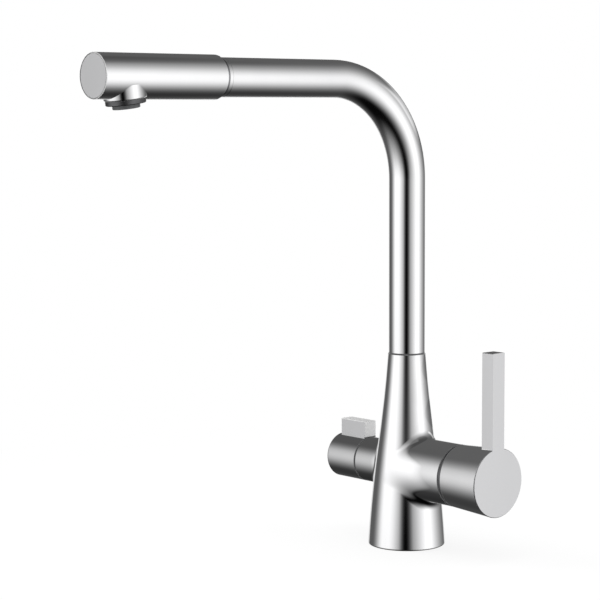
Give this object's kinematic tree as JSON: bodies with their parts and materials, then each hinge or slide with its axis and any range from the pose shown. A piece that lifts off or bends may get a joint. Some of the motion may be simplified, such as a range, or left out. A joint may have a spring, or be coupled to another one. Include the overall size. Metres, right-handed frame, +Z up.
{
  "type": "pull-out mixer tap",
  "caption": "Deck-mounted kitchen mixer tap with a bent swivel spout, pull-out spray head, side mixing lever and a small quarter-turn filtered water knob.",
  "frame": {"origin": "centre of the base's underside, at the mouth of the shank's socket, on the worktop's surface", "axes": "+Z up along the column, -Y along the spout towards the pull-out head, +X along the mixing lever's axis, -X along the filter knob's axis"},
  "size_m": [0.1525, 0.2883, 0.3366],
  "materials": {
    "main_body": "polished chrome plate",
    "base_gasket": "moulded nitrile rubber",
    "cartridge_base": "moulded plastic",
    "cartridge_seals": "moulded nitrile rubber",
    "fixed_disc": "fired alumina ceramic, lapped",
    "cartridge_housing": "moulded acetal",
    "cartridge_nut": "turned brass",
    "lever_dome": "polished chrome plate",
    "filter_headwork": "turned brass",
    "filter_seal": "moulded nitrile rubber",
    "filter_fixed_disc": "fired alumina ceramic, lapped",
    "slip_ring": "moulded acetal",
    "spout_set_screw": "stainless steel",
    "spout_tube": "polished chrome plate",
    "swivel_sleeve": "turned brass",
    "swivel_seals": "moulded nitrile rubber",
    "dock_collar": "polished chrome plate",
    "hose_guide": "moulded acetal",
    "hose_run": "woven nylon braid over a rubber hose",
    "head_shell": "polished chrome plate",
    "head_end_cap": "polished chrome plate, flat face",
    "docking_nose": "moulded plastic",
    "head_waterway": "moulded acetal",
    "hose_connector": "turned brass",
    "connector_seal": "moulded nitrile rubber",
    "check_valve": "moulded plastic",
    "hose_front": "woven nylon braid over a rubber hose",
    "nozzle_collar": "polished chrome plate",
    "aerator_ring": "moulded plastic",
    "aerator_insert": "moulded plastic",
    "aerator_seal": "moulded nitrile rubber",
    "stem_carrier": "moulded plastic",
    "pivot_pin": "stainless steel",
    "lever_stem": "stainless steel",
    "mixing_lever": "polished chrome plate",
    "lever_grub_screw": "stainless steel",
    "lever_plug": "moulded plastic",
    "moving_disc": "fired alumina ceramic, lapped",
    "drive_plate": "moulded plastic",
    "filter_knob": "polished chrome plate",
    "filter_spindle": "turned brass",
    "filter_moving_disc": "fired alumina ceramic, lapped",
    "spindle_seal": "moulded nitrile rubber",
    "knob_grub_screw": "stainless steel"
  },
  "bodies": {
    "tap_body": {"main_body": "main_body", "base_gasket": "base_gasket", "cartridge_base": "cartridge_base", "cartridge_seals": "cartridge_seals", "fixed_disc": "fixed_disc", "cartridge_housing": "cartridge_housing", "cartridge_nut": "cartridge_nut", "lever_dome": "lever_dome", "filter_headwork": "filter_headwork", "filter_seal": "filter_seal", "filter_fixed_disc": "filter_fixed_disc", "slip_ring": "slip_ring", "spout_set_screw": "spout_set_screw"},
    "spout": {"spout_tube": "spout_tube", "swivel_sleeve": "swivel_sleeve", "swivel_seals": "swivel_seals", "dock_collar": "dock_collar", "hose_guide": "hose_guide", "hose_run": "hose_run"},
    "sprayhead": {"head_shell": "head_shell", "head_end_cap": "head_end_cap", "docking_nose": "docking_nose", "head_waterway": "head_waterway", "hose_connector": "hose_connector", "connector_seal": "connector_seal", "check_valve": "check_valve", "hose_front": "hose_front", "nozzle_collar": "nozzle_collar", "aerator_ring": "aerator_ring", "aerator_insert": "aerator_insert", "aerator_seal": "aerator_seal"},
    "lever_carrier": {"stem_carrier": "stem_carrier", "pivot_pin": "pivot_pin"},
    "lever": {"lever_stem": "lever_stem", "mixing_lever": "mixing_lever", "lever_grub_screw": "lever_grub_screw", "lever_plug": "lever_plug"},
    "mixing_disc": {"moving_disc": "moving_disc", "drive_plate": "drive_plate"},
    "knob": {"filter_knob": "filter_knob", "filter_spindle": "filter_spindle", "filter_moving_disc": "filter_moving_disc", "spindle_seal": "spindle_seal", "knob_grub_screw": "knob_grub_screw"}
  },
  "joints": [
    {"name": "spout_swivel", "type": "hinge", "parent": "tap_body", "child": "spout", "pos_m": [0, 0, 0.1342], "axis": [0, 0, 1], "range_deg": [-70, 70]},
    {"name": "head_pull", "type": "slide", "parent": "spout", "child": "sprayhead", "axis": [0, -1, 0], "range_m": [0, 0.25]},
    {"name": "lever_turn", "type": "hinge", "parent": "tap_body", "child": "lever_carrier", "pos_m": [0, 0, 0.0548], "axis": [1, 0, 0], "range_deg": [-45, 45]},
    {"name": "lever_tilt", "type": "hinge", "parent": "lever_carrier", "child": "lever", "pos_m": [0.0381, 0, 0.0548], "axis": [0, 1, 0], "range_deg": [0, 20]},
    {"name": "disc_slide", "type": "slide", "parent": "lever_carrier", "child": "mixing_disc", "axis": [0, 0, 1], "range_m": [0, 0.0032]},
    {"name": "filter_turn", "type": "hinge", "parent": "tap_body", "child": "knob", "pos_m": [0, 0, 0.0548], "axis": [1, 0, 0], "range_deg": [0, 90]}
  ],
  "couplings": [
    {"joint": "disc_slide", "follows": "lever_tilt", "m_per_rad": 0.009}
  ]
}
